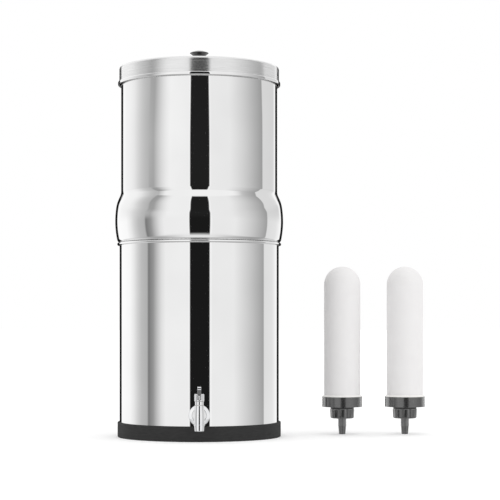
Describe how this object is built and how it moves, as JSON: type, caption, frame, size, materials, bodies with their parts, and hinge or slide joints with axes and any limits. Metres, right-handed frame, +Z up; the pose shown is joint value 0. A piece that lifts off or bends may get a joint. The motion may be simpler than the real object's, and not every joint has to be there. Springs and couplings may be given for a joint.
{
  "type": "gravity water filter",
  "caption": "Stacked polished steel vessels with a lift-off lid and knob, a spring lever tap low in front, a rubber base boot, and domed ceramic candles standing beside.",
  "frame": {"origin": "middle of the rubber boot's underside, on the vessels' shared axis", "axes": "+Z up along the vessels' axis, -Y towards the front where the tap stands, +X towards the pair of candles"},
  "size_m": [0.4264, 0.2579, 0.5241],
  "materials": {
    "polished_steel": "mirror polished stainless steel",
    "lid_steel": "fine circumferential brushing",
    "inner_steel": "satin stainless steel",
    "boot_rubber": "satin moulded rubber",
    "tap_chrome": "bright chrome plate",
    "valve_steel": "machined stainless steel",
    "fastener_steel": "bright stainless steel",
    "seal_rubber": "moulded black rubber",
    "silicone": "translucent white silicone",
    "fibre": "pressed fibre",
    "knob_black": "glossy moulded black",
    "ceramic": "porous matte ceramic",
    "carbon": "packed carbon granules",
    "felt": "white filter felt",
    "cap_grey": "moulded grey plastic",
    "nut_grey": "moulded dark grey plastic",
    "potting_white": "cured white potting resin"
  },
  "bodies": {
    "lower_vessel": {"base_boot": "boot_rubber", "lower_wall": "polished_steel", "lower_floor": "inner_steel", "tap_outer_gasket": "seal_rubber", "tap_inner_gasket": "seal_rubber", "tap_washer": "fastener_steel", "tap_locknut": "fastener_steel", "tap_escutcheon": "tap_chrome", "tap_body": "tap_chrome", "tap_bonnet_gasket": "fibre", "tap_bonnet": "tap_chrome", "tap_stem_seal": "seal_rubber", "tap_spring": "valve_steel"},
    "upper_vessel": {"upper_wall": "polished_steel", "upper_floor": "inner_steel"},
    "lid": {"lid_shell": "lid_steel", "lid_knob": "knob_black", "lid_knob_washer": "fibre", "lid_screw": "fastener_steel", "lid_screw_washer": "fastener_steel"},
    "valve_stem": {"tap_stem": "valve_steel", "tap_seat_cup": "silicone"},
    "lever": {"tap_lever": "tap_chrome", "tap_pin": "valve_steel"},
    "left_candle": {"candle_left_shell": "ceramic", "candle_left_core": "carbon", "candle_left_pad": "felt", "candle_left_cap": "cap_grey", "candle_left_potting": "potting_white"},
    "left_seal": {"candle_left_seal": "seal_rubber"},
    "left_nut": {"candle_left_nut": "nut_grey"},
    "right_candle": {"candle_right_shell": "ceramic", "candle_right_core": "carbon", "candle_right_pad": "felt", "candle_right_cap": "cap_grey", "candle_right_potting": "potting_white"},
    "right_seal": {"candle_right_seal": "seal_rubber"},
    "right_nut": {"candle_right_nut": "nut_grey"}
  },
  "joints": [
    {"name": "upper_lift", "type": "slide", "parent": "lower_vessel", "child": "upper_vessel", "axis": [0, 0, 1], "range_m": [0, 0.15]},
    {"name": "lid_lift", "type": "slide", "parent": "upper_vessel", "child": "lid", "axis": [0, 0, 1], "range_m": [0, 0.25]},
    {"name": "stem_slide", "type": "slide", "parent": "lower_vessel", "child": "valve_stem", "axis": [0, 0, 1], "range_m": [0, 0.00141], "stiffness_N_per_m": 60, "springref_m": -0.005, "deforming": ["tap_spring"]},
    {"name": "lever_tilt", "type": "hinge", "parent": "valve_stem", "child": "lever", "pos_m": [0, -0.132, 0.0592], "axis": [1, 0, 0], "range_deg": [0, 45]},
    {"name": "left_candle_lift", "type": "slide", "parent": "lower_vessel", "child": "left_candle", "axis": [0, 0, 1], "range_m": [0, 0.3]},
    {"name": "left_seal_drop", "type": "slide", "parent": "left_candle", "child": "left_seal", "axis": [0, 0, -1], "range_m": [0, 0.0105]},
    {"name": "left_nut_spin", "type": "hinge", "parent": "left_seal", "child": "left_nut", "pos_m": [0.1979, 0.0365, 0.0285], "axis": [0, 0, -1], "range_deg": [0, 2520]},
    {"name": "right_candle_lift", "type": "slide", "parent": "lower_vessel", "child": "right_candle", "axis": [0, 0, 1], "range_m": [0, 0.3]},
    {"name": "right_seal_drop", "type": "slide", "parent": "right_candle", "child": "right_seal", "axis": [0, 0, -1], "range_m": [0, 0.0105]},
    {"name": "right_nut_spin", "type": "hinge", "parent": "right_seal", "child": "right_nut", "pos_m": [0.285, 0.0365, 0.0285], "axis": [0, 0, -1], "range_deg": [0, 2520]}
  ],
  "couplings": [
    {"joint": "lever_tilt", "follows": "stem_slide", "rad_per_m": 555.55},
    {"joint": "left_nut_spin", "follows": "left_seal_drop", "rad_per_m": 4188.8},
    {"joint": "right_nut_spin", "follows": "right_seal_drop", "rad_per_m": 4188.8}
  ]
}
